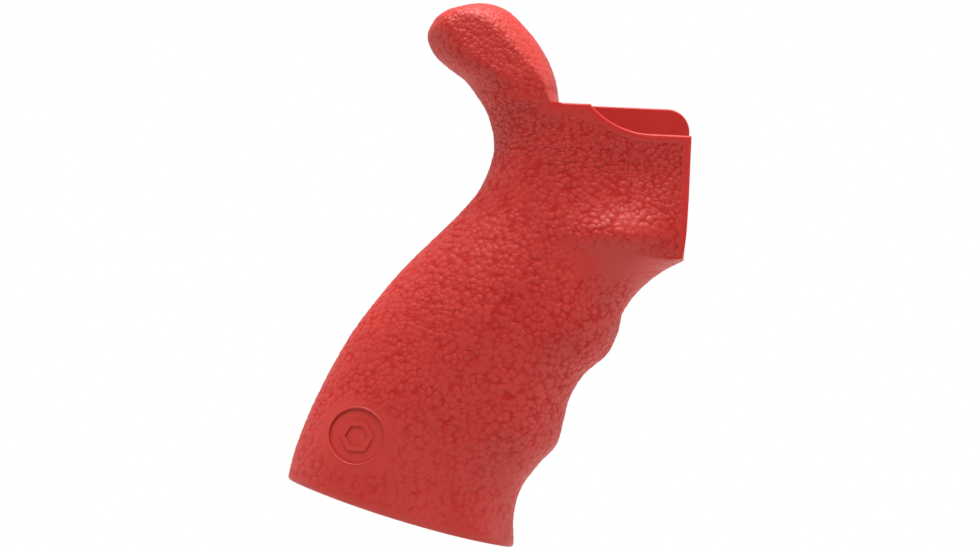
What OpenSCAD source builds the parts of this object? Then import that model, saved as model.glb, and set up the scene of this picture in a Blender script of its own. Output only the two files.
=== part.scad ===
// Overmoulded pistol-style hand grip: a rigid hollow core with a soft skin moulded over it,
// and the fixing screw that goes up the handle, with its split lock washer.
// Millimetres. +X is forward, +Z is up, and -Y is the side with the cut-down wall.
// The origin is where the screw comes out of the pocket floor.

/* [Top block] */
// Height of the top edges above the origin
top_z = 19; // [18:0.5:21]
// Distance of the flat front face from the origin
front_x = 14.4; // [13.5:0.1:16]
// Radius of the round cut-down in the near wall
scoop_r = 20; // [16:0.5:24]
// Height of the lowered part of the near wall
scoop_z = 12.4; // [11:0.1:15]
// Radius of the far wall's top front corner
corner_r = 5.5; // [3:0.5:8]
// Width of the bare core edge that shows round the skin
rim_w = 1.4; // [0.8:0.1:2]

/* [Pocket] */
// Width of the pocket between the side walls
pocket_w = 16; // [14:0.5:18]
// Distance of the pocket's back wall behind the origin
pocket_back = 15; // [12:0.5:16]

/* [Handle] */
// Lean of the screw and of the hollow, in degrees from upright
lean = 27; // [25:0.5:29]
// Thickness of the soft skin
skin_t = 1.4; // [1:0.1:2]
// Rounding of the bottom edge
edge_r = 1.1; // [0.6:0.1:1.2]
// Height of the bottom face's arch
bulge = 1.35; // [0.4:0.05:1.5]
// Outward swell of the finger shelf on each side
shelf_out = 2.6; // [0.5:0.1:3]
// Hollow in each side above the finger shelf
dish_in = 1.2; // [0:0.1:1.5]

/* [Badge] */
// Radius of the round sunk badge
badge_r = 6.6; // [5:0.1:8]
// Depth of the badge below the skin
badge_deep = 0.5; // [0.3:0.1:0.8]

/* [Hollow] */
// Thickness of the web under the pocket
web_t = 8; // [6:0.5:10]
// Depth of the round recess for the screw head
head_room = 9; // [8:0.5:12]
// Thickness of the core's wall round the hollow
wall_t = 2.8; // [2:0.1:4]

/* [Screw] */
// Outside diameter of the thread
screw_d = 6.35; // [6:0.05:6.35]
// Length of the screw under its head
screw_len = 22.2; // [20:0.1:25.4]
// Diameter of the screw's head
head_d = 9.5; // [9:0.1:10.5]
// Height of the screw's head
head_h = 6.35; // [5.5:0.05:7]
// Width across the flats of the hexagon socket
socket_af = 4.76; // [4:0.01:5]
// Diameter of the plain shank between the head and the thread
shank_d = 5.76; // [5.5:0.01:5.9]
// Radial clearance of the thread in the web
screw_gap = 0.08; // [0.03:0.01:0.1]
// Thickness of the lock washer
washer_t = 1.6; // [1.2:0.1:2]
// Outside diameter of the lock washer
washer_d = 12; // [11:0.1:12.4]

/* [Hidden] */
// Lengthwise stations from the bottom to the tip of the horn. Each row is: back x, back z,
// front x, front z, half width, length of the back rounding, length of the front rounding,
// and 1 where the front outline has a corner.
stations = [
    [-78.6, -73.8, -23.6, -87.9, 14.6, 26, 18, 0],
    [-77.3, -67.4, -23.9, -80.0, 14.8, 26, 18, 0],
    [-75.3, -61.0, -22.4, -73.6, 15.0, 26, 18, 0],
    [-72.6, -54.0, -18.6, -67.8, 15.3, 26, 17, 0],
    [-69.2, -46.6, -14.4, -62.8, 15.6, 27, 16, 0],
    [-65.0, -38.6, -13.0, -57.0, 15.9, 28, 16, 0],
    [-60.6, -32.0, -11.6, -51.0, 16.1, 28, 16, 0],
    [-55.4, -25.0, -8.2, -45.3, 16.2, 28, 16, 0],
    [-50.2, -19.0, -3.4, -40.8, 16.0, 26, 16, 0],
    [-45.0, -13.6, -0.9, -35.4, 15.6, 24, 16, 0],
    [-40.0, -8.2, 0.2, -30.4, 15.0, 23, 15, 0],
    [-36.2, -3.4, 3.4, -25.4, 14.4, 22, 13, 0],
    [-33.9, 1.4, 8.6, -20.6, 13.9, 21, 9, 0],
    [-32.8, 5.6, front_x - 0.4, -17.4, 13.6, 20, 1, 1],
    [-32.6, 8.0, front_x, -3.0, 13.5, 19, 0, 1],
    [-32.9, 10.8, front_x, 12.0, 13.4, 18, 0, 0],
    [-33.5, 13.0, front_x, top_z, 13.4, 17, 0, 1],
    [-34.2, 15.0, 4.0, top_z, 13.4, 16, 0, 0],
    [-35.2, 17.0, -8.0, top_z, 13.4, 15, 0, 0],
    [-36.9, 19.5, -17.3, top_z, 13.4, 13, 2.5, 1],
    [-40.0, 23.3, -18.6, 25.0, 13.3, 11, 4, 0],
    [-44.0, 26.1, -21.3, 30.7, 12.6, 9, 6, 0],
    [-47.2, 28.7, -25.6, 36.2, 11.9, 8, 7, 0],
    [-49.1, 31.6, -31.0, 40.9, 11.0, 8, 7, 0],
    [-49.6, 34.4, -37.0, 42.3, 10.0, 6, 6, 0],
    [-48.2, 37.8, -43.0, 41.1, 7.6, 3, 3, 0],
    [-46.4, 39.5, -45.9, 39.9, 1.5, 0.3, 0.3, 0]
];
last = len(stations) - 1;

// Steps round the back, along the flat of the flank and round the front of a section
back_n = 6;
flank_n = 3;
front_n = 5;
half_n = back_n + flank_n + front_n;
ring_n = 2 * half_n;

scoop_cx = 4.8;
scoop_cz = scoop_z + scoop_r;
pocket_top = 30;
pocket_corner = 2.5;
hollow_from = web_t + head_room;
bore_r = screw_d / 2 + screw_gap;
recess_r = head_d / 2 + 1.75;
seat_gap = 0.05;
badge_x = -62.3;
badge_z = -62.5;
ring_out = 0.62 * badge_r;
ring_in = 0.42 * badge_r;

// Stations every half step, and closer where the horn closes at its tip
main_us = [for (u = [0.5:0.5:24]) u];
tip_us = [24.33, 24.66, 25, 25.3, 25.6, 25.85];

// Which piece to draw

// ---- outline -------------------------------------------------------------------------

// Slope of column c at station i, taken on one side only at a corner of the front outline
function slope(c, i, side) =
    let (corner = (c == 2 || c == 3) && stations[i][7] == 1)
    i == 0 || (corner && side > 0) ? stations[i + 1][c] - stations[i][c]
    : i == last || corner ? stations[i][c] - stations[i - 1][c]
    : (stations[i + 1][c] - stations[i - 1][c]) / 2;

// Smooth value of column c at station position u
function at(c, u) =
    let (i = max(0, min(floor(u), last - 1)))
    let (t = u - i, a = stations[i][c], b = stations[i + 1][c])
    let (s1 = slope(c, i, 1), s2 = slope(c, i + 1, -1))
    (2 * t ^ 3 - 3 * t ^ 2 + 1) * a + (t ^ 3 - 2 * t ^ 2 + t) * s1
    + (3 * t ^ 2 - 2 * t ^ 3) * b + (t ^ 3 - t ^ 2) * s2;

// A smooth round hill of height 1 that is rx long, rise above its middle and fall below it
function hill(x, z, cx, cz, rx, rise, fall) =
    exp(-((x - cx) / rx) ^ 2 - ((z - cz) / (z > cz ? rise : fall)) ^ 2);

// How far each flank stands out from its plain width at a place in the side view
function relief(x, z) =
    shelf_out * hill(x, z, -1, -12, 11, 5.2, 4.5)
    - dish_in * hill(x, z, 2, 3, 14, 8, 6);

// Half of a section, from its back tip to its front tip, as [distance, half width] pairs
function half_section(length, w, rb, rf) = concat(
    [for (k = [0:back_n]) let (a = 90 * k / back_n) [rb * (1 - cos(a)), w * sin(a)]],
    [for (k = [1:flank_n - 1]) [rb + (length - rf - rb) * k / flank_n, w]],
    [for (k = [0:front_n]) let (a = 90 * k / front_n)
        [length - rf + rf * sin(a), w * cos(a)]]);

// One closed section at station position u, set in from the outside by d
function section(u, d) =
    let (back = [at(0, u), at(1, u)], front = [at(2, u), at(3, u)])
    let (full = norm(front - back), dir = (front - back) / full, w = max(0.4, at(4, u) - d))
    let (length = full - 2 * d, rb = min(max(0.2, at(5, u) - d), 0.58 * length))
    let (rf = min(max(0, at(6, u) - d), 0.4 * length))
    let (arch = 4 * bulge * max(0, 1 - max(0, u) / 1.5) ^ 2)
    let (half = half_section(length, w, rb, rf))
    [for (j = [0:ring_n - 1])
        let (k = j <= half_n ? j : ring_n - j, s = half[k][0] + d, y = half[k][1])
        let (low = arch * s / full * (1 - s / full))
        let (x = back[0] + dir[0] * s + dir[1] * low, z = back[1] + dir[1] * s - dir[0] * low)
        [x, (j <= half_n ? 1 : -1) * (y + relief(x, z) * (y / w) ^ 2), z]];

// Closed solid through a list of sections
module loft(sections) {
    m = len(sections);
    sides = [for (i = [0:m - 2], j = [0:ring_n - 1])
        let (a = i * ring_n + j, b = i * ring_n + (j + 1) % ring_n)
        each [[a, b, b + ring_n], [a, b + ring_n, a + ring_n]]];
    first_end = [for (k = [0:half_n - 1])
        let (k2 = (ring_n - k) % ring_n)
        each concat(k > 0 ? [[k, k2, k + 1]] : [],
            k < half_n - 1 ? [[k2, ring_n - k - 1, k + 1]] : [])];
    last_end = [for (f = first_end) [for (v = [2, 1, 0]) f[v] + (m - 1) * ring_n]];
    polyhedron(points = [for (s = sections) each s], faces = concat(sides, first_end, last_end));
}

// The whole outside, with its rounded bottom edge
module outside() {
    pitch = norm([stations[1][0] - stations[0][0], stations[1][1] - stations[0][1]]);
    loft(concat(
        [for (a = [0:30:90]) section(edge_r * (1 - cos(a)) / pitch, edge_r * (1 - sin(a)))],
        [for (u = concat(main_us, tip_us)) section(u, 0)]));
}

// What lies under the skin, carried on below the bottom face
module under_skin() {
    loft([for (u = concat([-0.3], main_us, [24.33, 24.66, 25, 25.2])) section(u, skin_t)]);
}

// ---- cuts shared by the core and the skin ----------------------------------------------

// Side view of all that lies above or before the near wall's edge, with the edge lowered by d
module beyond_near_edge(d) {
    translate([scoop_cx, scoop_cz]) circle(r = scoop_r + d, $fn = 96);
    translate([scoop_cx, scoop_z - d]) square([30, 30]);
    if (d > 0) {
        translate([-20, top_z - d]) square([60, d + 0.3]);
        translate([front_x - d, -30]) square([30, 90]);
    }
}

// The same for the far wall, whose top front corner is rounded
module beyond_far_edge(d) {
    translate([front_x - corner_r, top_z - corner_r]) difference() {
        square([30, 30]);
        circle(r = corner_r - d, $fn = 64);
    }
    if (d > 0) {
        translate([-20, top_z - d]) square([60, d + 0.3]);
        translate([front_x - d, -30]) square([30, 90]);
    }
}

// The two side views, each drawn out over its own half of the width
module beyond_edges(d) {
    rotate([90, 0, 0]) linear_extrude(30) beyond_near_edge(d);
    translate([0, 30, 0]) rotate([90, 0, 0]) linear_extrude(30) beyond_far_edge(d);
}

// The outside form with its top finished
module form() {
    difference() {
        outside();
        beyond_edges(0);
    }
}

// ---- inside ----------------------------------------------------------------------------

// A box with rounded upright corners, from x0 to x1, centred across
module rounded_box(x0, x1, width, corner, z0, z1) {
    translate([0, 0, z0]) linear_extrude(z1 - z0) {
        for (x = [x0 + corner, x1 - corner], side = [-1, 1]) {
            translate([x, side * (width / 2 - corner)]) circle(r = corner, $fn = 40);
        }
        translate([x0 + corner, -width / 2]) square([x1 - x0 - 2 * corner, width]);
        translate([x0, corner - width / 2]) square([x1 - x0, width - 2 * corner]);
    }
}

// The pocket, open at the top and at the front
module pocket() {
    intersection() {
        rotate([0, lean, 0]) translate([-60, -30, 0]) cube([120, 60, 60]);
        rounded_box(-pocket_back, 60, pocket_w, pocket_corner, -40, pocket_top);
    }
}

// The hollow in the handle, open at the bottom, with an even wall all round
module hollow() {
    intersection() {
        loft([for (u = concat([-0.4], [for (u = [0.5:0.5:12]) u])) section(u, skin_t + wall_t)]);
        rotate([0, lean, 0]) translate([-60, -30, -120]) cube([120, 60, 120 - hollow_from]);
    }
}

// ---- pieces ----------------------------------------------------------------------------

// Rigid core: hollow handle, pocket walls and the bare rim
module core() {
    color([0.66, 0.12, 0.1])
        difference() {
            resize([0, 0, 0]) difference() {
                intersection() {
                    form();
                    union() {
                        under_skin();
                        beyond_edges(rim_w);
                    }
                }
                pocket();
                hollow();
            }
            rotate([0, lean, 0]) {
                translate([0, 0, -hollow_from - 1])
                    cylinder(r = recess_r, h = head_room + 1, $fn = 96);
                translate([0, 0, -web_t - 1]) cylinder(r = bore_r, h = web_t + 2, $fn = 96);
            }
        }
}

// Soft skin moulded over the core, with the sunk badge
module rubber_skin() {
    color([0.72, 0.16, 0.13])
        resize([0, 0, 0]) difference() {
            form();
            under_skin();
            beyond_edges(rim_w);
            pocket();
            badge();
        }
}

// Round badge sunk to an even depth in the near flank, round a six-sided ring left standing
module badge() {
    difference() {
        translate([badge_x, 0, badge_z]) rotate([90, 0, 0]) difference() {
            cylinder(r = badge_r, h = 30, $fn = 64);
            difference() {
                cylinder(r = ring_out, h = 30, $fn = 6);
                cylinder(r = ring_in, h = 30, $fn = 6);
            }
        }
        loft([for (u = [0.5:0.5:5]) section(u, badge_deep)]);
    }
}

// Split lock washer under the screw's head
module lock_washer() {
    color([0.62, 0.62, 0.64])
        rotate([0, lean, 0]) translate([0, 0, -web_t - seat_gap - washer_t]) difference() {
            cylinder(d = washer_d, h = washer_t, $fn = 96);
            translate([0, 0, -1]) cylinder(r = screw_d / 2 + 0.33, h = washer_t + 2, $fn = 96);
            translate([0, -0.35, washer_t / 2]) rotate([20, 0, 0])
                translate([0, -0.35, -3]) cube([20, 0.7, 6]);
        }
}

// Socket-head screw; its free end stands in the pocket
module grip_screw() {
    under = web_t + washer_t + 2 * seat_gap; // the thread starts level with the pocket floor
    color([0.2, 0.2, 0.21])
        rotate([0, lean, 0]) translate([0, 0, -under]) difference() {
            union() {
                cylinder(d = shank_d, h = under + 0.01, $fn = 96);
                translate([0, 0, under])
                    cylinder(d = screw_d, h = screw_len - under - 0.6, $fn = 96);
                translate([0, 0, screw_len - 0.6])
                    cylinder(d1 = screw_d, d2 = screw_d - 1.2, h = 0.6, $fn = 96);
                translate([0, 0, -head_h]) cylinder(d = head_d, h = head_h, $fn = 96);
            }
            translate([0, 0, -head_h - 1])
                cylinder(d = socket_af / cos(30), h = head_h / 2 + 1.2, $fn = 6);
        }
}

core();
rubber_skin();
lock_washer();
grip_screw();
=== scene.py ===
"""Looks of the overmoulded hand grip: pebbled soft skin, satin rigid core, screw and split lock washer.

Lengths in the making are millimetres, in the CAD's frame; meshes are written in metres.
"""
import math

import bmesh
import bpy
import numpy as np
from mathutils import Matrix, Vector
from mathutils.bvhtree import BVHTree
from mathutils.kdtree import KDTree


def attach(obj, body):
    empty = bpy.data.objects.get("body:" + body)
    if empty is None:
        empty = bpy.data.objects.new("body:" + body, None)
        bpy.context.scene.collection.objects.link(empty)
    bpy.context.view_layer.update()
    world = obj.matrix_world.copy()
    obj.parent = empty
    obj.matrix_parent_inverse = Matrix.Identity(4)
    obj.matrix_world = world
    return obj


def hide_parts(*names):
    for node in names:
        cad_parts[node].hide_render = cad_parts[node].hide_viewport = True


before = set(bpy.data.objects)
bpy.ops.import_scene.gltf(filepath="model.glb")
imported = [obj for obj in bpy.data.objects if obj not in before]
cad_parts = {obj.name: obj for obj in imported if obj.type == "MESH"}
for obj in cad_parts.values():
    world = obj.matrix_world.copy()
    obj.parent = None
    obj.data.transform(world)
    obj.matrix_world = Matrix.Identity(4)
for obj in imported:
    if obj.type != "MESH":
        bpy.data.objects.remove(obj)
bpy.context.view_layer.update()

MM = 0.001

# ---- sizes shared with the CAD ---------------------------------------------------------

FRONT_X = 14.4
TOP_Z = 19.0
SCOOP_R = 20.0
SCOOP_Z = 12.4
SCOOP_X = 4.8
CORNER_R = 5.5
RIM_W = 1.4
POCKET_W = 16.0
POCKET_BACK = 15.0
POCKET_CORNER = 2.5
LEAN = math.radians(27)
SKIN_T = 1.4
EDGE_R = 1.1
BULGE = 1.35
SHELF_OUT = 2.6
DISH_IN = 1.2
BADGE_AT = (-62.3, -13.25, -62.5)
BADGE_R = 6.6
BADGE_DEEP = 0.5
WEB_T = 8.0
HEAD_ROOM = 9.0
WALL_T = 2.8
SCREW_R = 3.175
SHANK_R = 2.88
SCREW_LEN = 22.2
PITCH = 0.907
HEAD_R = 4.75
HEAD_H = 6.35
SOCKET_AF = 4.76
BORE_R = SCREW_R + 0.08
RECESS_R = HEAD_R + 1.75
SEAT_GAP = 0.05
WASHER_T = 1.6
WASHER_R = 6.0
UNDER_HEAD = WEB_T + WASHER_T + 2 * SEAT_GAP
RECESS_END = -(WEB_T + HEAD_ROOM)
RIM_BACK = -20              # the bare rim's strip starts here, inside the horn's foot
HORN_FOOT = -16.5           # in front of this the strip is open upward
RIM_OVER = 0.3
SHELF = (-1, -12, 11, 5.2, 4.5)     # centre x and z, half length, rise above and fall below it
DISH = (2, 3, 14, 8, 6)

# ---- reach of the cutting tools, well outside the grip ---------------------------------

FAR = 60
WIDE = 30
ABOVE = 45

# ---- sizes that only the looks have ----------------------------------------------------

EDGE_ROUND = 0.5            # of the walls' outer edges
INNER_SHARE = 0.8           # what the pocket-side edges have of it
LINE_R = 0.26               # the raised line round the badge
LINE_SUNK = 0.55            # how much of its radius lies in the skin
RING_OUTER = 0.62           # the badge's six-sided ring, as shares of the badge's radius
RING_INNER = 0.42
RING_SUNK = 0.12            # the ring's top lies this far under the skin
GRAIN_PALM = 1.44           # width of a pebble
GRAIN_UPPER = 1.16
DEPTH_PALM = 0.27           # height of a pebble, crease to crown
DEPTH_UPPER = 0.36
GRAIN_LEVEL = 0.8           # share of that height at which the CAD's surface lies
CREASE_W = 0.34             # width of a crease, as a share of a pebble
HORN_FADE = 0.42            # how much flatter the grain is on the horn, at its root and on the shelf
ROOT_FADE = 0.30
SHELF_FADE = 0.9
ON_GRID = 0.002             # a vertex this close to the plain grid lies on the outside
THREAD_DEEP = 0.54
KNURL_DEEP = 0.11
KNURL_COUNT = 36
SLIT_AT = -0.35             # the washer's slit, its half width and its slant
SLIT_HALF = 0.39
SLIT_SLANT = 0.364

# ---- colours -----------------------------------------------------------------------------

SKIN_DARK = (0.430, 0.019, 0.0135)
SKIN_LIGHT = (0.465, 0.023, 0.0165)
# painted shade: a darker red that the skin's material puts into the creases between pebbles, where shade
# falls
SKIN_CREASE_SHADE = (0.385, 0.0105, 0.0080)
SKIN_SPECK = (0.5, 0.05, 0.04)
SKIN_SHEEN = (1.0, 0.75, 0.72)
CORE_DARK = (0.47, 0.013, 0.010)
CORE_LIGHT = (0.51, 0.017, 0.012)
CORE_STREAK = (0.55, 0.035, 0.022)
OXIDE_DARK = (0.020, 0.021, 0.024)
OXIDE_LIGHT = (0.036, 0.036, 0.038)
WORN_STEEL = (0.30, 0.29, 0.28)
ZINC_COOL = (0.50, 0.51, 0.54)
ZINC_WARM = (0.62, 0.61, 0.57)
FLOOR_DARK = (0.52, 0.52, 0.52)
FLOOR_LIGHT = (0.56, 0.56, 0.56)
WHITE = (1, 1, 1, 1)
PLASTIC_IOR = 1.46

# ---- stage: the floor in millimetres, lights and camera in metres ------------------------

FLOOR_Z = -125.0
FLOOR_SIDE = 420
FLOOR_BACK = 380
WORLD_FRONT = 0.19
WORLD_BACK = 0.70
WARM = (1.0, 0.965, 0.90)
LIGHT_AIM = (-0.03, 0, -0.02)
# name, place, size, power
LIGHTS = (
    ("key", (-0.14, -0.70, 1.30), (0.8, 0.6), 18.5),
    ("overhead", (-0.05, 0.05, 1.35), (1.0, 0.8), 26.0),
    ("left_panel", (-1.0, 0.10, 0.55), (0.8, 1.0), 0.6),
    ("low_panel", (-1.0, -0.10, -0.05), (0.7, 0.5), 1.5),
    ("right_panel", (1.0, -0.05, 0.35), (0.8, 1.0), 5.0),
)
CAMERA_AT = (-0.0324, -1.8, -0.0228)
CAMERA_ROLL = -2.5          # degrees; gives the tilt that the photograph shows
LENS = 276.1

# back x, back z, front x, front z, half width, back rounding, front rounding, front corner
STATIONS = np.array([
    [-78.6, -73.8, -23.6, -87.9, 14.6, 26, 18, 0],
    [-77.3, -67.4, -23.9, -80.0, 14.8, 26, 18, 0],
    [-75.3, -61.0, -22.4, -73.6, 15.0, 26, 18, 0],
    [-72.6, -54.0, -18.6, -67.8, 15.3, 26, 17, 0],
    [-69.2, -46.6, -14.4, -62.8, 15.6, 27, 16, 0],
    [-65.0, -38.6, -13.0, -57.0, 15.9, 28, 16, 0],
    [-60.6, -32.0, -11.6, -51.0, 16.1, 28, 16, 0],
    [-55.4, -25.0, -8.2, -45.3, 16.2, 28, 16, 0],
    [-50.2, -19.0, -3.4, -40.8, 16.0, 26, 16, 0],
    [-45.0, -13.6, -0.9, -35.4, 15.6, 24, 16, 0],
    [-40.0, -8.2, 0.2, -30.4, 15.0, 23, 15, 0],
    [-36.2, -3.4, 3.4, -25.4, 14.4, 22, 13, 0],
    [-33.9, 1.4, 8.6, -20.6, 13.9, 21, 9, 0],
    [-32.8, 5.6, FRONT_X - 0.4, -17.4, 13.6, 20, 1, 1],
    [-32.6, 8.0, FRONT_X, -3.0, 13.5, 19, 0, 1],
    [-32.9, 10.8, FRONT_X, 12.0, 13.4, 18, 0, 0],
    [-33.5, 13.0, FRONT_X, TOP_Z, 13.4, 17, 0, 1],
    [-34.2, 15.0, 4.0, TOP_Z, 13.4, 16, 0, 0],
    [-35.2, 17.0, -8.0, TOP_Z, 13.4, 15, 0, 0],
    [-36.9, 19.5, -17.3, TOP_Z, 13.4, 13, 2.5, 1],
    [-40.0, 23.3, -18.6, 25.0, 13.3, 11, 4, 0],
    [-44.0, 26.1, -21.3, 30.7, 12.6, 9, 6, 0],
    [-47.2, 28.7, -25.6, 36.2, 11.9, 8, 7, 0],
    [-49.1, 31.6, -31.0, 40.9, 11.0, 8, 7, 0],
    [-49.6, 34.4, -37.0, 42.3, 10.0, 6, 6, 0],
    [-48.2, 37.8, -43.0, 41.1, 7.6, 3, 3, 0],
    [-46.4, 39.5, -45.9, 39.9, 1.5, 0.3, 0.3, 0],
])
LAST = len(STATIONS) - 1
HORN_END = 25.9             # the outside form ends here, in station positions
CORNERS = [float(i) for i in np.flatnonzero(STATIONS[:, 7] == 1)]


# ---- the form of the grip ----------------------------------------------------------------

def slope(col, i, forward):
    """Slope of one column at a station, one-sided where the front outline has a corner."""
    corner = col in (2, 3) and STATIONS[i, 7] == 1
    if i == 0 or (corner and forward):
        return STATIONS[i + 1, col] - STATIONS[i, col]
    if i == LAST or corner:
        return STATIONS[i, col] - STATIONS[i - 1, col]
    return (STATIONS[i + 1, col] - STATIONS[i - 1, col]) / 2


def at(col, u):
    """Smooth value of one column at station position u."""
    i = max(0, min(int(math.floor(u)), LAST - 1))
    t = u - i
    a, b = STATIONS[i, col], STATIONS[i + 1, col]
    s1, s2 = slope(col, i, True), slope(col, i + 1, False)
    return ((2 * t**3 - 3 * t**2 + 1) * a + (t**3 - 2 * t**2 + t) * s1
            + (3 * t**2 - 2 * t**3) * b + (t**3 - t**2) * s2)


def hill(x, z, cx, cz, rx, rise, fall):
    """A smooth mound of height 1 in the side view."""
    return np.exp(-(((x - cx) / rx) ** 2) - ((z - cz) / np.where(z > cz, rise, fall)) ** 2)


def relief(x, z):
    """How far each flank stands out from its plain width: the finger shelf and the dish above it."""
    return SHELF_OUT * hill(x, z, *SHELF) - DISH_IN * hill(x, z, *DISH)


def half_profile(length, w, rb, rf, steps):
    """Half of a section from its back tip to its front tip: distances and half widths."""
    nb, nm, nf = steps
    ab = np.linspace(0, math.pi / 2, nb + 1)
    af = np.linspace(0, math.pi / 2, nf + 1)
    s = np.concatenate([rb * (1 - np.cos(ab)), rb + (length - rf - rb) * np.arange(1, nm) / nm,
                        length - rf + rf * np.sin(af)])
    y = np.concatenate([w * np.sin(ab), np.full(nm - 1, w), w * np.cos(af)])
    return s, y


def section(u, inset, steps, even=0):
    """One closed section at station position u. With even, its points are spaced evenly."""
    back = np.array([at(0, u), at(1, u)])
    front = np.array([at(2, u), at(3, u)])
    full = np.linalg.norm(front - back)
    run = (front - back) / full
    w = max(0.4, at(4, u) - inset)
    length = full - 2 * inset
    rb = min(max(0.2, at(5, u) - inset), 0.58 * length)
    rf = min(max(0.0, at(6, u) - inset), 0.4 * length)
    s, y = half_profile(length, w, rb, rf, steps)
    if even:
        along = np.concatenate([[0], np.cumsum(np.hypot(np.diff(s), np.diff(y)))])
        even_at = np.linspace(0, along[-1], even + 1)
        s, y = np.interp(even_at, along, s), np.interp(even_at, along, y)
        y[0] = y[-1] = 0
    arch = 4 * BULGE * max(0, 1 - max(0, u) / 1.5) ** 2
    d = s + inset
    low = arch * d / full * (1 - d / full)
    x = back[0] + run[0] * d + run[1] * low
    z = back[1] + run[1] * d - run[0] * low
    wide = y + relief(x, z) * (y / w) ** 2
    side = np.stack([x, wide, z], 1)
    other = np.stack([x, -wide, z], 1)[1:-1][::-1]
    return np.concatenate([side, other])


def loft(sections):
    """Vertices and faces of the closed solid through a list of sections."""
    m, n = len(sections), len(sections[0])
    half = n // 2
    verts = np.concatenate(sections)
    i, j = np.meshgrid(np.arange(m - 1), np.arange(n), indexing="ij")
    a, b = (i * n + j).ravel(), (i * n + (j + 1) % n).ravel()
    quads = np.stack([a, b, b + n, a + n], 1)[:, ::-1]
    faces = [tuple(q) for q in quads.tolist()]
    for base, flip in ((0, False), ((m - 1) * n, True)):
        for k in range(half):
            loop = [k, k + 1, n - k - 1, (n - k) % n]
            loop = list(dict.fromkeys(loop))
            if not flip:
                faces.append(tuple(base + v for v in loop))
            else:
                faces.append(tuple(base + v for v in reversed(loop)))
    return verts, faces


def make_mesh(name, verts, faces):
    mesh = bpy.data.meshes.new(name)
    mesh.from_pydata((np.asarray(verts) * MM).tolist(), [], faces)
    mesh.validate()
    mesh.update()
    obj = bpy.data.objects.new(name, mesh)
    bpy.context.scene.collection.objects.link(obj)
    return obj


def first_gap():
    """Length of the first station step along the back, which turns millimetres into station steps."""
    return float(np.linalg.norm(STATIONS[1, :2] - STATIONS[0, :2]))


def ring_places(step):
    """Station positions whose sections lie no more than step apart, back or front."""
    fine = np.arange(0, LAST + 1e-9, 0.01)
    pts = np.array([[at(c, u) for c in range(4)] for u in fine])
    back, front = (np.hypot(*np.diff(ends, axis=0).T) for ends in (pts[:, :2], pts[:, 2:]))
    move = np.maximum(back, front)
    run = np.concatenate([[0], np.cumsum(move)])
    stop = np.interp(HORN_END, fine, run)
    return np.interp(np.linspace(0, stop, int(stop / step) + 1), run, fine)


def outside_rings(step, steps, even=0):
    """Station positions and sections of the whole outside form, with its rounded bottom edge."""
    rounded = [(EDGE_R * (1 - math.cos(a)) / first_gap(), EDGE_R * (1 - math.sin(a)))
               for a in np.radians([0, 15, 30, 45, 60, 75])]
    between = [u for u in ring_places(step) if u > 0.2 and min(abs(u - c) for c in CORNERS) > 0.02]
    spots = rounded + [(u, 0) for u in sorted(between + CORNERS)]
    return [u for u, _ in spots], [section(u, inset, steps, even) for u, inset in spots]


def inset_form(name, inset, places, steps):
    return make_mesh(name, *loft([section(u, inset, steps) for u in places]))


def under_skin():
    """The form that lies one skin thickness inside the outside, where core and skin meet."""
    places = [-0.3] + [0.5 * k for k in range(1, 49)] + [24.33, 24.66, 25, 25.2]
    return inset_form("under_skin", SKIN_T, places, (24, 8, 20))


def prism(name, outline, y0, y1):
    """A closed prism whose outline is given in the side view and which runs across from y0 to y1."""
    n = len(outline)
    verts = [(x, y0, z) for x, z in outline] + [(x, y1, z) for x, z in outline]
    faces = [tuple(range(n)), tuple(reversed(range(n, 2 * n)))]
    faces += [((i + 1) % n, i, n + i, n + (i + 1) % n) for i in range(n)]
    return make_mesh(name, verts, faces)


def arc(cx, cz, r, a0, a1, n):
    return [(cx + r * math.cos(a), cz + r * math.sin(a)) for a in np.linspace(a0, a1, n)]


def beyond_edges(d):
    """Side views of all that lies above or before the walls' edges, lowered by d: near, then far."""
    cz = SCOOP_Z + SCOOP_R
    start = math.pi + math.asin((cz - TOP_Z + d) / (SCOOP_R + d))
    near = arc(SCOOP_X, cz, SCOOP_R + d, start, 1.5 * math.pi, 40)
    far = arc(FRONT_X - CORNER_R, TOP_Z - CORNER_R, CORNER_R - d, math.pi / 2, 0, 20)
    if d > 0:
        lead = [(HORN_FOOT, ABOVE), (HORN_FOOT, TOP_Z + RIM_OVER), (RIM_BACK, TOP_Z + RIM_OVER),
                (RIM_BACK, TOP_Z - d)]
        tail = [(FRONT_X - d, -WIDE), (ABOVE, -WIDE), (ABOVE, ABOVE)]
        near = lead + near + [(FRONT_X - d, SCOOP_Z - d)] + tail
        far = lead + far + tail
    else:
        near = [(near[0][0], ABOVE)] + near + [(ABOVE, SCOOP_Z), (ABOVE, ABOVE)]
        far = [(far[0][0], ABOVE)] + far + [(ABOVE, TOP_Z - CORNER_R), (ABOVE, ABOVE)]
    return near, far


def edge_cutters(d):
    """Tools that take away what beyond_edges names, on the near and on the far side."""
    near, far = beyond_edges(d)
    return prism("near_cut", near, -WIDE, 0), prism("far_cut", far, 0, WIDE)


def lean_out(x, y, s):
    """From the screw's own frame, along its axis by s, to the grip's frame."""
    c, k = math.cos(LEAN), math.sin(LEAN)
    return (c * x + k * s, y, -k * x + c * s)


def lean_box(name, x0, x1, w, s0, s1):
    """A box square to the screw's axis."""
    base = ((x0, -w), (x1, -w), (x1, w), (x0, w))
    verts = [lean_out(x, y, s) for s in (s0, s1) for x, y in base]
    faces = [(3, 2, 1, 0), (4, 5, 6, 7)]
    faces += [(i, (i + 1) % 4, 4 + (i + 1) % 4, 4 + i) for i in range(4)]
    return make_mesh(name, verts, faces)


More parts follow.
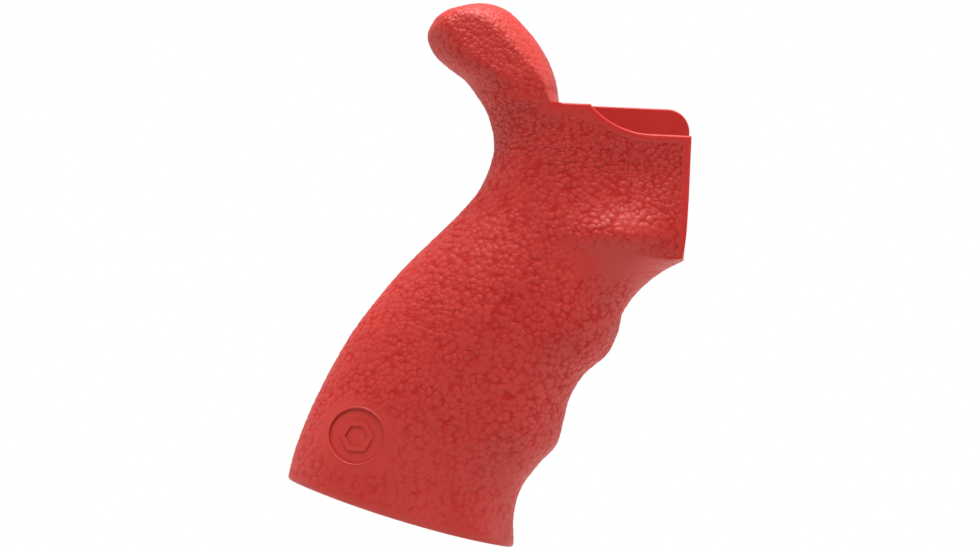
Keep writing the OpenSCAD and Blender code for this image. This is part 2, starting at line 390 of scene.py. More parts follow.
def lean_rod(name, profile, n=96):
    """A closed turned solid about the screw's axis, through (radius, s) pairs from low to high."""
    verts, faces = [], []
    for r, s in profile:
        verts += [lean_out(r * math.cos(a), r * math.sin(a), s) for a in 2 * math.pi * np.arange(n) / n]
    for i in range(len(profile) - 1):
        faces += [(i * n + j, i * n + (j + 1) % n, (i + 1) * n + (j + 1) % n, (i + 1) * n + j)
                  for j in range(n)]
    faces += [tuple(reversed(range(n))), tuple(range((len(profile) - 1) * n, len(profile) * n))]
    return make_mesh(name, verts, faces)


def apply_boolean(target, cutters, operation):
    """Each tool in turn; a tool whose faces are wound both ways would be left out without an error."""
    for cutter in cutters:
        mod = target.modifiers.new("cut", "BOOLEAN")
        mod.operation = operation
        mod.solver = "MANIFOLD"
        mod.object = cutter
        graph = bpy.context.evaluated_depsgraph_get()
        new = bpy.data.meshes.new_from_object(target.evaluated_get(graph))
        target.modifiers.clear()
        old = target.data
        target.data = new
        bpy.data.meshes.remove(old)


def discard(*objs):
    for o in objs:
        mesh = o.data
        bpy.data.objects.remove(o)
        bpy.data.meshes.remove(mesh)


def upright_box(name, x0, x1, width, corner, z0, z1):
    """A box with rounded upright corners."""
    pts = []
    for cx, cy, a0 in ((x1 - corner, width / 2 - corner, 0), (x0 + corner, width / 2 - corner, 90),
                       (x0 + corner, corner - width / 2, 180), (x1 - corner, corner - width / 2, 270)):
        pts += [(cx + corner * math.cos(a), cy + corner * math.sin(a))
                for a in np.radians(np.linspace(a0, a0 + 90, 12))]
    n = len(pts)
    verts = [(x, y, z0) for x, y in pts] + [(x, y, z1) for x, y in pts]
    faces = [tuple(reversed(range(n))), tuple(range(n, 2 * n))]
    faces += [(i, (i + 1) % n, n + (i + 1) % n, n + i) for i in range(n)]
    return make_mesh(name, verts, faces)


def pocket_cutter():
    """The pocket with its slanted floor, open at the top and the front."""
    box = upright_box("pocket_cut", -POCKET_BACK, FAR, POCKET_W, POCKET_CORNER, -40, 30)
    floor = lean_box("pocket_floor_cut", -FAR, FAR, WIDE, 0, FAR)
    apply_boolean(box, [floor], "INTERSECT")
    discard(floor)
    return box


def core_cutters():
    """The hollow of the handle, the recess for the screw's head and the bore."""
    places = [-0.4] + [0.25 * k for k in range(1, 49)]
    inside = inset_form("hollow_cut", SKIN_T + WALL_T, places, (24, 10, 16))
    below = lean_box("hollow_end", -FAR, FAR, WIDE, -2 * FAR, RECESS_END)
    apply_boolean(inside, [below], "INTERSECT")
    discard(below)
    recess = lean_rod("recess_cut", [(RECESS_R, RECESS_END - 1), (RECESS_R, -WEB_T)])
    bore = lean_rod("bore_cut", [(BORE_R, -WEB_T - 1), (BORE_R, 1)])
    return [inside, recess, bore]


# ---- the pebbled grain of the skin --------------------------------------------------------

def hashed(cells, salt):
    """Repeatable pseudo-random numbers from 0 to 1, one for each row of whole-number cells."""
    c = cells.astype(np.int64)
    h = (c[:, 0] * 73856093) ^ (c[:, 1] * 19349663) ^ (c[:, 2] * 83492791) ^ (salt * 2654435761)
    h &= 0xFFFFFFFF
    for _ in range(2):
        h = ((h ^ (h >> 15)) * 0x2C1B3C6D) & 0xFFFFFFFF
        h = ((h ^ (h >> 12)) * 0x297A2D39) & 0xFFFFFFFF
    return ((h ^ (h >> 15)) & 0xFFFFFF) / float(0x1000000)


def nearest_two(points):
    """Distances from each point to the two nearest seeds of a jittered unit grid."""
    base = np.floor(points)
    d1 = np.full(len(points), 9.0)
    d2 = np.full(len(points), 9.0)
    for dx in (-1, 0, 1):
        for dy in (-1, 0, 1):
            for dz in (-1, 0, 1):
                cell = base + (dx, dy, dz)
                seed = cell + np.stack([hashed(cell, k) for k in (1, 2, 3)], 1)
                d = np.linalg.norm(points - seed, axis=1)
                d2 = np.where(d < d1, d1, np.minimum(d2, d))
                d1 = np.minimum(d1, d)
    return d1, d2


def smooth_noise(points, salt):
    """Smooth noise from -1 to 1, on a unit grid."""
    base = np.floor(points)
    f = points - base
    f = f * f * (3 - 2 * f)
    total = np.zeros(len(points))
    for dx in (0, 1):
        for dy in (0, 1):
            for dz in (0, 1):
                w = (np.where(dx, f[:, 0], 1 - f[:, 0]) * np.where(dy, f[:, 1], 1 - f[:, 1])
                     * np.where(dz, f[:, 2], 1 - f[:, 2]))
                total += w * hashed(base + (dx, dy, dz), salt)
    return 2 * total - 1


def ramp(v, a, b):
    """Smooth step from 0 at a to 1 at b."""
    t = np.clip((v - a) / (b - a), 0, 1)
    return t * t * (3 - 2 * t)


def upper_share(x, z):
    """From 0 on the palm to 1 above it."""
    return ramp(z + 0.35 * x, -9, 4)


def pebbles(p):
    """Height from 0 in the creases to 1 on the crowns, at points in millimetres."""
    bend = np.stack([smooth_noise(p / 1.9, k) for k in (11, 12, 13)], 1)
    twist = np.stack([smooth_noise(p / 0.8, k) for k in (14, 15, 16)], 1)
    q = p + 0.42 * bend + 0.13 * twist
    upper = upper_share(p[:, 0], p[:, 2])
    cell = GRAIN_PALM + (GRAIN_UPPER - GRAIN_PALM) * upper
    d1, d2 = nearest_two(q / cell[:, None] + 40)
    crease = np.clip((d2 - d1) / CREASE_W, 0, 1)
    crease = crease * (2 - crease)
    faint = ramp(smooth_noise(p / 2.0, 31), -0.35, 0.45) * (0.58 - 0.30 * upper)
    crease = crease + (1 - crease) * faint
    dome = np.clip(1 - (d1 / 0.80) ** 2, 0, 1)
    big = 0.5 + 0.5 * smooth_noise(p / 2.7, 21)
    return (0.50 * crease + 0.50 * dome) * (0.70 + 0.30 * big)


def rect_gap(x, z, x0, z0, x1, z1):
    """Distance from each point to a rectangle, 0 inside it."""
    return np.hypot(np.maximum(np.maximum(x0 - x, x - x1), 0),
                    np.maximum(np.maximum(z0 - z, z - z1), 0))


def rim_gap(p):
    """Distance from each point of the skin to the bare rim, in the side view."""
    x, y, z = p.T
    d = RIM_W
    top = rect_gap(x, z, RIM_BACK, TOP_Z - d, 40, TOP_Z + RIM_OVER)
    front = rect_gap(x, z, FRONT_X - d, -30, 60, 60)
    scoop = np.hypot(x - SCOOP_X, z - SCOOP_Z - SCOOP_R) - (SCOOP_R + d)
    ledge = rect_gap(x, z, SCOOP_X, SCOOP_Z - d, 40, 45)
    corner = (CORNER_R - d) - np.hypot(x - FRONT_X + CORNER_R, z - TOP_Z + CORNER_R)
    corner = np.where((x > FRONT_X - CORNER_R) & (z > TOP_Z - CORNER_R), corner, 99)
    edge = np.where(y < 0, np.minimum(scoop, ledge), corner)
    return np.minimum(np.minimum(top, front), edge)


def grain_depth(p, u):
    """Height of the pebbles at each point, in millimetres."""
    x, y, z = p.T
    depth = DEPTH_PALM + (DEPTH_UPPER - DEPTH_PALM) * upper_share(x, z)
    depth = depth * (1 - HORN_FADE * ramp(z, 12, 26))
    root = ramp(z, 12.5, 16) * (1 - ramp(z, 19.2, 22.5)) * ramp(x, -33, -26)
    depth = depth * (1 - ROOT_FADE * root)
    depth = depth * (0.72 + 0.28 * ramp(z, -70, -50))
    shelf = np.exp(-(((x + 3) / 9.5) ** 2) - ((z + 18.4) / 3.9) ** 2)
    depth = depth * (1 - SHELF_FADE * np.clip(1.25 * shelf, 0, 1))
    # smoother towards the badge, and plain at its edge, at the bare rim and at the bottom edge
    badge = np.hypot(x - BADGE_AT[0], z - BADGE_AT[2])
    depth = depth * np.where(y < 0, 0.25 + 0.75 * ramp(badge, BADGE_R + 0.5, BADGE_R + 4), 1)
    depth = depth * np.where(y < 0, ramp(badge, BADGE_R + 0.3, BADGE_R + 1.0), 1)
    depth = depth * ramp(rim_gap(p), 0.12, np.where(x < -8, 2.4, 0.8))
    return depth * ramp(u, 0.12, 0.26)


def badge_cutters():
    """What is cut away for the badge: a sunk disc that leaves a six-sided ring standing."""
    bx, _, bz = BADGE_AT

    def round_prism(name, r, corners, y0, y1):
        return prism(name, arc(bx, bz, r, 0, 2 * math.pi, corners + 1)[:-1], y0, y1)

    def layer(name, inset):
        return inset_form(name, inset, [0.5 + 0.125 * k for k in range(37)], (40, 12, 20))

    disc = round_prism("badge_cut", BADGE_R, 120, -WIDE, 0)
    ring = round_prism("badge_ring", RING_OUTER * BADGE_R, 6, -WIDE - 1, 1)
    eye = round_prism("badge_eye", RING_INNER * BADGE_R, 6, -WIDE - 2, 2)
    floor = layer("badge_floor", BADGE_DEEP)
    crown = layer("badge_crown", RING_SUNK)
    apply_boolean(ring, [eye], "DIFFERENCE")
    apply_boolean(ring, [crown], "INTERSECT")
    apply_boolean(disc, [floor, ring], "DIFFERENCE")
    discard(ring, eye, floor, crown)
    return disc


def surface_tree(obj):
    """For finding where a ray meets the object."""
    return BVHTree.FromPolygons([v.co for v in obj.data.vertices],
                                [tuple(p.vertices) for p in obj.data.polygons])


def badge_line(skin):
    """A thin half-round line that stands round the badge, lying on the skin's surface."""
    tree = surface_tree(skin)
    n, m, r = 120, 10, LINE_R
    verts, faces = [], []
    for i in range(n):
        a = 2 * math.pi * i / n
        x = BADGE_AT[0] + (BADGE_R + r) * math.cos(a)
        z = BADGE_AT[2] + (BADGE_R + r) * math.sin(a)
        hit, normal, _, _ = tree.ray_cast(Vector((x, -FAR, z)) * MM, Vector((0, 1, 0)))
        out = normal if normal.y < 0 else -normal
        centre = hit / MM - out * (r * LINE_SUNK)
        radial = Vector((math.cos(a), 0, math.sin(a)))
        radial = (radial - out * radial.dot(out)).normalized()
        for k in range(m):
            b = 2 * math.pi * k / m
            verts.append(tuple(centre + radial * (r * math.cos(b)) + out * (r * math.sin(b))))
    for i in range(n):
        for k in range(m):
            a, b = i * m + k, i * m + (k + 1) % m
            c, d = ((i + 1) % n) * m + (k + 1) % m, ((i + 1) % n) * m + k
            faces.append((a, b, c, d))
    return make_mesh("badge_line", verts, faces)


def set_smooth(obj, angle):
    """Smooth shading, broken at edges sharper than angle, in degrees."""
    obj.data.shade_smooth()
    obj.data.set_sharp_from_angle(angle=math.radians(angle))


def flip_if_inside_out(obj):
    bm = bmesh.new()
    bm.from_mesh(obj.data)
    if bm.calc_volume(signed=True) < 0:
        bmesh.ops.reverse_faces(bm, faces=bm.faces[:])
        bm.to_mesh(obj.data)
    bm.free()


def build_skin():
    step = 0.25
    even = 256
    us, rings = outside_rings(step, (60, 40, 60), even)
    skin = make_mesh("skin_moulding", *loft(rings))
    flip_if_inside_out(skin)

    # outward directions on the plain grid
    rings = np.array(rings)
    along = np.gradient(rings, axis=0)
    around = np.roll(rings, -1, axis=1) - np.roll(rings, 1, axis=1)
    normal = np.cross(along, around)
    normal /= np.maximum(np.linalg.norm(normal, axis=2, keepdims=True), 1e-9)
    centre = rings.mean(axis=1, keepdims=True)
    sign = np.sign(np.sum((rings - centre) * normal, axis=2, keepdims=True))
    normal = (normal * np.where(sign == 0, 1, sign)).reshape(-1, 3)
    grid = rings.reshape(-1, 3)
    u_of = np.repeat(np.array(us), rings.shape[1])
    height = pebbles(grid)
    depth = grain_depth(grid, u_of)

    inner = under_skin()
    near, far = edge_cutters(RIM_W)
    pocket = pocket_cutter()
    badge = badge_cutters()
    line = badge_line(skin)
    for tool in (inner, near, far, pocket, badge, line):
        flip_if_inside_out(tool)
    apply_boolean(skin, [inner, near, far, pocket, badge], "DIFFERENCE")
    apply_boolean(skin, [line], "UNION")
    discard(inner, near, far, pocket, badge, line)

    # the outside's own vertices move with the grain; those of the cuts stay
    tree = KDTree(len(grid))
    for i, p in enumerate(grid.tolist()):
        tree.insert(p, i)
    tree.balance()
    mesh = skin.data
    co = np.empty(len(mesh.vertices) * 3, np.float32)
    mesh.vertices.foreach_get("co", co)
    co = co.reshape(-1, 3).astype(float) / MM
    # pebble height for the skin's material, which uses it to paint shade into the creases and to vary
    # roughness and specular level
    grain_and_crease_shade = np.ones(len(co), np.float32)
    for k, p in enumerate(co.tolist()):
        _, i, gap = tree.find(p)
        if gap < ON_GRID:
            co[k] += normal[i] * ((height[i] - GRAIN_LEVEL) * depth[i])
            grain_and_crease_shade[k] = 1 - (1 - height[i]) * min(1.0, depth[i] / DEPTH_PALM)
    mesh.vertices.foreach_set("co", (co * MM).astype(np.float32).ravel())
    attribute = mesh.attributes.new("grain_and_crease_shade", "FLOAT", "POINT")
    attribute.data.foreach_set("value", grain_and_crease_shade)
    mesh.update()
    set_smooth(skin, 38)
    return skin


def edge_paths():
    """The near and the far wall's top and front edges in the side view, from back to front."""
    near, far = beyond_edges(0)
    start = [(-16.9, TOP_Z), (-13.1, TOP_Z)]
    front = [(FRONT_X, 4), (FRONT_X, -3), (FRONT_X - 0.35, -15.8)]
    near = start + near[1:-2] + [(9.6, SCOOP_Z), (FRONT_X, SCOOP_Z)] + front
    far = start + [(-4, TOP_Z)] + far[1:-2] + front
    return near, far


def rounding_tool(name, path, ys, out, r):
    """What is cut away to round an edge that follows path, on a wall face at ys that looks along out."""
    pts = np.array(path)
    step = np.diff(pts, axis=0)
    step /= np.linalg.norm(step, axis=1, keepdims=True)
    side = np.stack([-step[:, 1], step[:, 0]], 1)
    first, last = side[:1], side[-1:]
    before, after = np.concatenate([first, side]), np.concatenate([side, last])
    mitre = before + after
    mitre /= np.maximum(np.sum(mitre * before, axis=1, keepdims=True), 0.2)
    a = np.linspace(math.pi / 2, 0, 7)
    past = 0.4
    loop = [(-r + r * math.cos(t), -r + r * math.sin(t)) for t in a]
    loop += [(past, -r), (past, past), (-r, past)]
    verts = [(x + k * n[0], y + b * out, z + k * n[1])
             for (x, z), y, n in zip(path, ys, mitre) for k, b in loop]
    m, n = len(loop), len(path)
    faces = [(i * m + j, i * m + (j + 1) % m, (i + 1) * m + (j + 1) % m, (i + 1) * m + j)
             for i in range(n - 1) for j in range(m)]
    faces += [tuple(reversed(range(m))), tuple(range((n - 1) * m, n * m))]
    tool = make_mesh(name, verts, faces)
    flip_if_inside_out(tool)
    return tool


def rounding_tools(form):
    """Tools for the outer and the pocket-side edges of both walls."""
    tree = surface_tree(form)
    foot = -6.5
    tools = []
    for name, path, side in zip(("near", "far"), edge_paths(), (-1, 1)):
        ys = []
        for x, z in path:
            start = Vector((x - 0.2, side * FAR, z - 0.1)) * MM
            hit = tree.ray_cast(start, Vector((0, -side, 0)))[0]
            ys.append(hit.y / MM)
        tools.append(rounding_tool(name + "_outer_round", path, ys, side, EDGE_ROUND))
        inner = [(x, z) for x, z in path if x > -13.2 and z > foot] + [(FRONT_X, foot)]
        ys = [side * POCKET_W / 2] * len(inner)
        tools.append(rounding_tool(name + "_inner_round", inner, ys, -side, INNER_SHARE * EDGE_ROUND))
    return tools


def build_core():
    _, rings = outside_rings(1.0, (30, 12, 24))
    core = make_mesh("core_moulding", *loft(rings))
    rounds = rounding_tools(core)
    inner = under_skin()
    near, far = edge_cutters(RIM_W)
    near_top, far_top = edge_cutters(0)
    pocket = pocket_cutter()
    cutters = core_cutters()
    for tool in [core, inner, near, far, near_top, far_top, pocket] + cutters:
        flip_if_inside_out(tool)
    apply_boolean(inner, [near, far], "UNION")
    apply_boolean(core, [inner], "INTERSECT")
    apply_boolean(core, [near_top, far_top, pocket] + cutters + rounds, "DIFFERENCE")
    discard(inner, near, far, near_top, far_top, pocket, *cutters, *rounds)
    set_smooth(core, 30)
    return core


# ---- screw and washer -----------------------------------------------------------------------

def polar_solid(name, rings, n, crest):
    """A closed solid from (radius, or radius by angle, and s) rings along the screw's axis."""
    angles = 2 * math.pi * np.arange(n) / n
    verts, faces, worn = [], [], []
    verts.append(lean_out(0, 0, rings[0][1]))
    worn.append(0.0)
    for radius, s in rings:
        r = np.broadcast_to(radius(angles) if callable(radius) else radius, n)
        for a, ra in zip(angles, r):
            verts.append(lean_out(ra * math.cos(a), ra * math.sin(a), s))
            worn.append(float(crest(ra, s)))
    verts.append(lean_out(0, 0, rings[-1][1]))
    worn.append(0.0)
    end = len(verts) - 1
    for j in range(n):
        faces.append((0, 1 + (j + 1) % n, 1 + j))
        base = 1 + (len(rings) - 1) * n
        faces.append((end, base + j, base + (j + 1) % n))
    for i in range(len(rings) - 1):
        a, b = 1 + i * n, 1 + (i + 1) * n
        faces += [(a + j, a + (j + 1) % n, b + (j + 1) % n, b + j) for j in range(n)]
    obj = make_mesh(name, verts, faces)
    flip_if_inside_out(obj)
    attribute = obj.data.attributes.new("crest", "FLOAT", "POINT")
    attribute.data.foreach_set("value", np.array(worn, np.float32))
    return obj


def hexagon(across):
    """Radius by angle of a six-sided outline, so wide across its flats."""
    def radius(a):
        turn = (a + math.pi / 6) % (math.pi / 3) - math.pi / 6
        return across / 2 / np.cos(turn)
    return radius


def blend_to(outline, r, t):
    """An outline taken by the share t towards a circle of radius r."""
    return lambda a: (1 - t) * outline(a) + t * r


def knurl(depth, s):
    """A diamond knurl: two sets of fine grooves crossing on the head's side."""
    def radius(a):
        one = np.abs(((a * KNURL_COUNT / math.pi + s * 1.25) % 2) - 1)
        two = np.abs(((a * KNURL_COUNT / math.pi - s * 1.25) % 2) - 1)
        return HEAD_R - depth * np.maximum(one, two) ** 3
    return radius


def thread(s):
    """A right-hand thread: the crest climbs one pitch for each turn."""
    def radius(a):
        phase = (s / PITCH - a / (2 * math.pi)) % 1
        v = np.abs(2 * phase - 1)
        groove = np.clip((v - 0.14) / 0.74, 0, 1)
        return SCREW_R - THREAD_DEEP * groove
    return radius


def lead_in(outline, share):
    """The thread's first turn, with only a share of its height over the shank."""
    if share >= 1:
        return outline
    return lambda a: SHANK_R + (outline(a) - SHANK_R) * share


def capped(outline, limit):
    return lambda a: np.minimum(outline(a), limit)


def build_screw():
    """Socket-head screw, from the socket's bottom round the head and along the thread to the tip."""
    foot = -UNDER_HEAD - HEAD_H
    under = -UNDER_HEAD
    tip = SCREW_LEN + under
    socket = hexagon(SOCKET_AF)
    deep = foot + HEAD_H / 2 + 0.2
    rings = [(0.6, deep + 0.9), (2.2, deep + 0.05), (blend_to(socket, 2.3, 0.15), deep), (socket, deep)]
    rings += [(socket, deep + (foot - deep) * k / 6) for k in range(1, 6)]
    rings += [(socket, foot + 0.25), (blend_to(socket, 2.95, 0.5), foot), (3.1, foot)]
    rings += [(3.7, foot), (4.25, foot), (4.45, foot + 0.1), (HEAD_R - 0.1, foot + 0.42),
              (HEAD_R - 0.04, foot + 0.5)]
    for s in np.arange(foot + 0.62, under - 0.75, 0.12):
        fade = min(1, (s - foot - 0.5) / 0.4, (under - 0.6 - s) / 0.3)
        rings.append((knurl(KNURL_DEEP * fade, s), s))
    rings += [(HEAD_R - 0.03, under - 0.7), (HEAD_R, under - 0.45), (HEAD_R - 0.02, under - 0.15),
              (HEAD_R - 0.2, under), (SHANK_R + 0.35, under), (SHANK_R + 0.1, under + 0.1),
              (SHANK_R, under + 0.35)]
    rings += [(SHANK_R, under + (-0.25 - under) * k / 6) for k in range(1, 7)]
    for s in np.arange(-0.1, tip - 0.65, PITCH / 10):
        rings.append((lead_in(thread(s), min(1.0, max(0.0, (s + 0.1) / 0.5))), s))
    for s in np.arange(tip - 0.62, tip - 0.01, PITCH / 10):
        rings.append((capped(thread(s), SCREW_R - 0.6 * (s - tip + 0.62) / 0.62), s))
    rings += [(SCREW_R - 0.72, tip), (1.6, tip), (0.6, tip)]

    def crest(r, s):
        if s > -0.2:
            return max(0.0, min(1.0, (r - 3.0) / 0.17))
        if s < under - 0.01 and r > HEAD_R - 0.12:
            return max(0.0, (r - HEAD_R + 0.12) / 0.12)
        return 0.0
    screw = polar_solid("socket_screw", rings, 216, crest)
    set_smooth(screw, 32)
    return screw


def build_washer():
    """Split ring of nearly square section with softened corners and slanted ends."""
    r0, r1, t, c = SCREW_R + 0.35, WASHER_R - 0.02, WASHER_T, 0.18
    mid = -WEB_T - SEAT_GAP - t / 2
    h = t / 2
    e = 0.05
    loop = [(r0 + c, -h), (r0 + e, -h + e), (r0, -h + c), (r0, 0), (r0, h - c), (r0 + e, h - e),
            (r0 + c, h), ((r0 + r1) / 2, h), (r1 - c, h), (r1 - e, h - e), (r1, h - c), (r1, 0),
            (r1, -h + c), (r1 - e, -h + e), (r1 - c, -h), ((r0 + r1) / 2, -h)]
    n, m = 150, len(loop)
    verts, faces = [], []
    for i in range(n + 1):
        for r, k in loop:
            slit = SLIT_AT - SLIT_SLANT * k
            a0 = math.asin((slit + SLIT_HALF) / r)
            a1 = 2 * math.pi + math.asin((slit - SLIT_HALF) / r)
            a = a0 + (a1 - a0) * i / n
            verts.append(lean_out(r * math.cos(a), r * math.sin(a), mid + k))
    for i in range(n):
        for j in range(m):
            a, b = i * m + j, i * m + (j + 1) % m
            faces.append((a, b, b + m, a + m))
    faces += [tuple(reversed(range(m))), tuple(range(n * m, (n + 1) * m))]
    washer = make_mesh("spring_washer", verts, faces)
    flip_if_inside_out(washer)
    set_smooth(washer, 32)
    return washer


# ---- materials --------------------------------------------------------------------------------

class Nodes:
    """Short hand for building a material's node tree."""

    def __init__(self, name):
        self.mat = bpy.data.materials.new(name)
        self.mat.use_nodes = True
        self.tree = self.mat.node_tree
        self.shader = self.tree.nodes["Principled BSDF"]

    def add(self, kind, **values):
        node = self.tree.nodes.new(kind)
        for key, value in values.items():
            setattr(node, key, value)
        return node

    def link(self, a, b):
        self.tree.links.new(a, b)

    def noise(self, coords, scale, detail=3.0, rough=0.5):
        node = self.add("ShaderNodeTexNoise")
        node.inputs["Scale"].default_value = scale
        node.inputs["Detail"].default_value = detail
        node.inputs["Roughness"].default_value = rough
        self.link(coords, node.inputs["Vector"])
        return node.outputs["Fac"]

    def map(self, value, a, b, c, d):
        """The range a to b stretched to c to d."""
        node = self.add("ShaderNodeMapRange")
        for k, v in enumerate((a, b, c, d)):
            node.inputs[k + 1].default_value = v
        self.link(value, node.inputs[0])
        return node.outputs[0]

    def math(self, op, a, b):
        node = self.add("ShaderNodeMath", operation=op)
        self.link(a, node.inputs[0])
        self.link(b, node.inputs[1])
        return node.outputs[0]

    def mix(self, fac, a, b):
        node = self.add("ShaderNodeMix", data_type="RGBA")
        self.link(fac, node.inputs["Factor"])
        for socket, v in ((node.inputs[6], a), (node.inputs[7], b)):
            if isinstance(v, tuple):
                socket.default_value = (*v, 1)
            else:
                self.link(v, socket)
        return node.outputs[2]

    def bump(self, height, strength, distance, normal=None):
        node = self.add("ShaderNodeBump")
        node.inputs["Strength"].default_value = strength
        node.inputs["Distance"].default_value = distance
        self.link(height, node.inputs["Height"])
        if normal is not None:
            self.link(normal, node.inputs["Normal"])
        return node.outputs["Normal"]

    def out(self, socket, value):
        """Sets one of the shader's sockets to a number or a colour, or links a texture to it."""
        if isinstance(value, (int, float)):
            self.shader.inputs[socket].default_value = value
        elif isinstance(value, tuple):
            self.shader.inputs[socket].default_value = (*value, 1)
        else:
            self.link(value, self.shader.inputs[socket])


def skin_material():
    m = Nodes("pebbled_rubber")
    here = m.add("ShaderNodeTexCoord").outputs["Object"]
    grain_and_crease_shade = m.add("ShaderNodeAttribute", attribute_name="grain_and_crease_shade").outputs["Fac"]
    patch = m.noise(here, 70, 3)
    speck = m.noise(here, 900, 2)
    crown = m.map(grain_and_crease_shade, 0.18, 0.74, 0, 1)
    tone = m.mix(m.map(patch, 0.35, 0.65, 0, 1), SKIN_DARK, SKIN_LIGHT)
    # painted shade: the pebble height mixes the creases towards the darker crease colour, so the crowns
    # look lit and the creases look shaded
    colour = m.mix(crown, SKIN_CREASE_SHADE, tone)
    colour = m.mix(m.map(speck, 0.62, 0.8, 0, 0.12), colour, SKIN_SPECK)
    m.out("Base Color", colour)
    rough = m.math("ADD", m.map(patch, 0.3, 0.7, 0.45, 0.53), m.map(crown, 0, 1, 0.16, 0))
    m.out("Roughness", rough)
    m.out("Specular IOR Level", m.map(crown, 0, 1, 0.22, 0.55))
    m.out("IOR", PLASTIC_IOR)
    m.out("Sheen Weight", 0.05)
    m.out("Sheen Roughness", 0.4)
    m.out("Sheen Tint", SKIN_SHEEN)
    fine = m.noise(here, 2600, 3, 0.6)
    m.out("Normal", m.bump(fine, 0.22, 0.00006))
    return m.mat


def core_material():
    m = Nodes("moulded_nylon")
    here = m.add("ShaderNodeTexCoord").outputs["Object"]
    patch = m.noise(here, 60, 4)
    flow = m.add("ShaderNodeMapping")
    flow.inputs["Scale"].default_value = (1, 1, 0.12)
    m.link(here, flow.inputs["Vector"])
    streak = m.noise(flow.outputs["Vector"], 400, 2)
    tone = m.mix(m.map(patch, 0.35, 0.65, 0, 1), CORE_DARK, CORE_LIGHT)
    colour = m.mix(m.map(streak, 0.55, 0.8, 0, 0.25), tone, CORE_STREAK)
    m.out("Base Color", colour)
    m.out("Roughness", m.map(patch, 0.3, 0.7, 0.46, 0.56))
    m.out("IOR", PLASTIC_IOR)
    fine = m.noise(here, 1800, 3, 0.6)
    m.out("Normal", m.bump(fine, 0.16, 0.00005))
    return m.mat


def screw_material():
    m = Nodes("black_oxide_steel")
    here = m.add("ShaderNodeTexCoord").outputs["Object"]
    crest = m.add("ShaderNodeAttribute", attribute_name="crest").outputs["Fac"]
    patch = m.noise(here, 260, 4)
    speck = m.noise(here, 1900, 3)
    worn = m.math("MULTIPLY", m.map(crest, 0.45, 1, 0, 1), m.map(patch, 0.42, 0.66, 0.05, 0.7))
    colour = m.mix(m.map(patch, 0.3, 0.7, 0, 1), OXIDE_DARK, OXIDE_LIGHT)
    m.out("Base Color", m.mix(worn, colour, WORN_STEEL))
    m.out("Metallic", 0.85)
    m.out("Roughness", m.map(speck, 0.3, 0.7, 0.30, 0.46))
    m.out("Normal", m.bump(speck, 0.2, 0.00003))
    return m.mat


def washer_material():
    m = Nodes("zinc_plated_spring_steel")
    here = m.add("ShaderNodeTexCoord").outputs["Object"]
    patch = m.noise(here, 320, 4)
    speck = m.noise(here, 2400, 3)
    colour = m.mix(m.map(patch, 0.35, 0.65, 0, 1), ZINC_COOL, ZINC_WARM)
    m.out("Base Color", colour)
    m.out("Metallic", 1.0)
    m.out("Roughness", m.map(speck, 0.3, 0.7, 0.26, 0.42))
    edge = m.add("ShaderNodeBevel", samples=4)
    edge.inputs["Radius"].default_value = 0.00012
    m.out("Normal", m.bump(speck, 0.2, 0.00003, edge.outputs["Normal"]))
    return m.mat


def floor_material():
    m = Nodes("pale_floor")
    here = m.add("ShaderNodeTexCoord").outputs["Object"]
    m.out("Base Color", m.mix(m.map(m.noise(here, 3, 2), 0.3, 0.7, 0, 1), FLOOR_DARK, FLOOR_LIGHT))
    m.out("Roughness", 0.8)
    return m.mat


# ---- stage ---------------------------------------------------------------------------------------

def add_floor():
    corners = ((-FLOOR_SIDE, -FLOOR_SIDE), (FLOOR_SIDE, -FLOOR_SIDE), (FLOOR_SIDE, FLOOR_BACK),
               (-FLOOR_SIDE, FLOOR_BACK))
    floor = make_mesh("floor", [(x, y, FLOOR_Z) for x, y in corners], [(0, 1, 2, 3)])
    floor.data.materials.append(floor_material())


def area_light(name, place, size, power):
    data = bpy.data.lights.new(name, "AREA")
    data.shape = "RECTANGLE"
    data.size, data.size_y = size
    data.energy = power
    data.color = WARM
    lamp = bpy.data.objects.new(name, data)
    lamp.location = place
    direction = Vector(LIGHT_AIM) - Vector(place)
    lamp.rotation_euler = direction.to_track_quat("-Z", "Y").to_euler()
    bpy.context.scene.collection.objects.link(lamp)


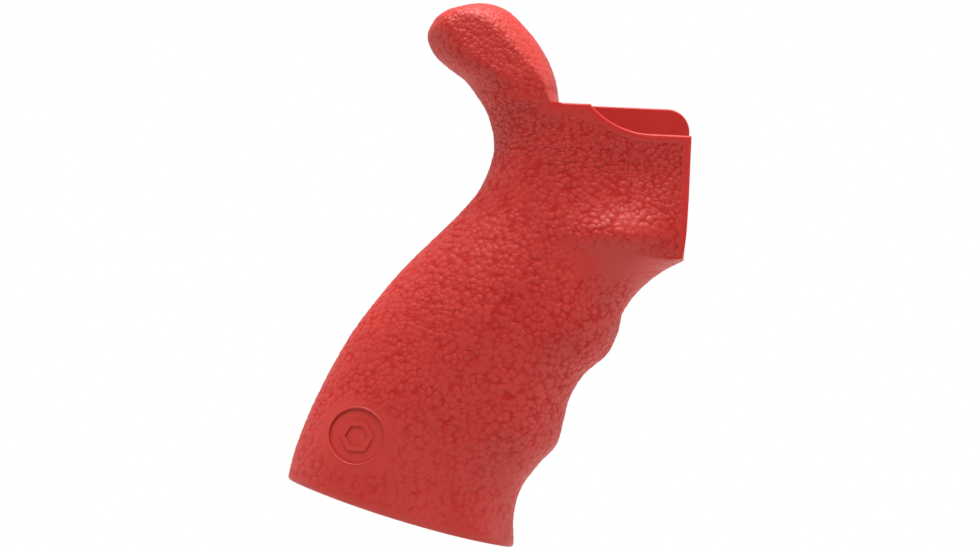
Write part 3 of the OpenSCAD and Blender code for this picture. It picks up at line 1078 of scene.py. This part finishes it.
def light_scene():
    """A world that is white to the camera and brighter behind the grip than in front, and the lamps."""
    world = bpy.data.worlds.new("studio")
    bpy.context.scene.world = world
    world.use_nodes = True
    tree = world.node_tree
    tree.nodes.clear()
    ambient = tree.nodes.new("ShaderNodeBackground")
    ambient.inputs["Color"].default_value = WHITE
    where = tree.nodes.new("ShaderNodeTexCoord")
    split = tree.nodes.new("ShaderNodeSeparateXYZ")
    grade = tree.nodes.new("ShaderNodeMapRange")
    grade.interpolation_type = "SMOOTHSTEP"
    for k, v in enumerate((-0.35, 0.5, WORLD_FRONT, WORLD_BACK)):
        grade.inputs[k + 1].default_value = v
    tree.links.new(where.outputs["Generated"], split.inputs[0])
    tree.links.new(split.outputs["Y"], grade.inputs[0])
    tree.links.new(grade.outputs[0], ambient.inputs["Strength"])
    seen = tree.nodes.new("ShaderNodeBackground")
    seen.inputs["Color"].default_value = WHITE
    seen.inputs["Strength"].default_value = 1.0
    path = tree.nodes.new("ShaderNodeLightPath")
    choose = tree.nodes.new("ShaderNodeMixShader")
    output = tree.nodes.new("ShaderNodeOutputWorld")
    tree.links.new(path.outputs["Is Camera Ray"], choose.inputs[0])
    tree.links.new(ambient.outputs[0], choose.inputs[1])
    tree.links.new(seen.outputs[0], choose.inputs[2])
    tree.links.new(choose.outputs[0], output.inputs["Surface"])
    for light in LIGHTS:
        area_light(*light)


def add_camera():
    data = bpy.data.cameras.new("photo_view")
    data.lens = LENS
    data.sensor_width = 36
    data.clip_start = 0.05
    data.clip_end = 20
    camera = bpy.data.objects.new("photo_view", data)
    camera.location = CAMERA_AT
    camera.rotation_euler = (math.radians(90), math.radians(CAMERA_ROLL), 0)
    bpy.context.scene.collection.objects.link(camera)
    bpy.context.scene.camera = camera


def dress(obj, material, body, node):
    """Gives a piece its material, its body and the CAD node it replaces."""
    obj.data.materials.clear()
    obj.data.materials.append(material)
    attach(obj, body)
    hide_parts(node)


add_camera()
light_scene()
add_floor()
dress(build_skin(), skin_material(), "grip", "rubber_skin")
dress(build_core(), core_material(), "grip", "core")
dress(build_screw(), screw_material(), "screw", "grip_screw")
dress(build_washer(), washer_material(), "washer", "lock_washer")

view = bpy.context.scene.view_settings
view.view_transform = "Standard"
view.look = "None"
view.exposure = 0
view.gamma = 1
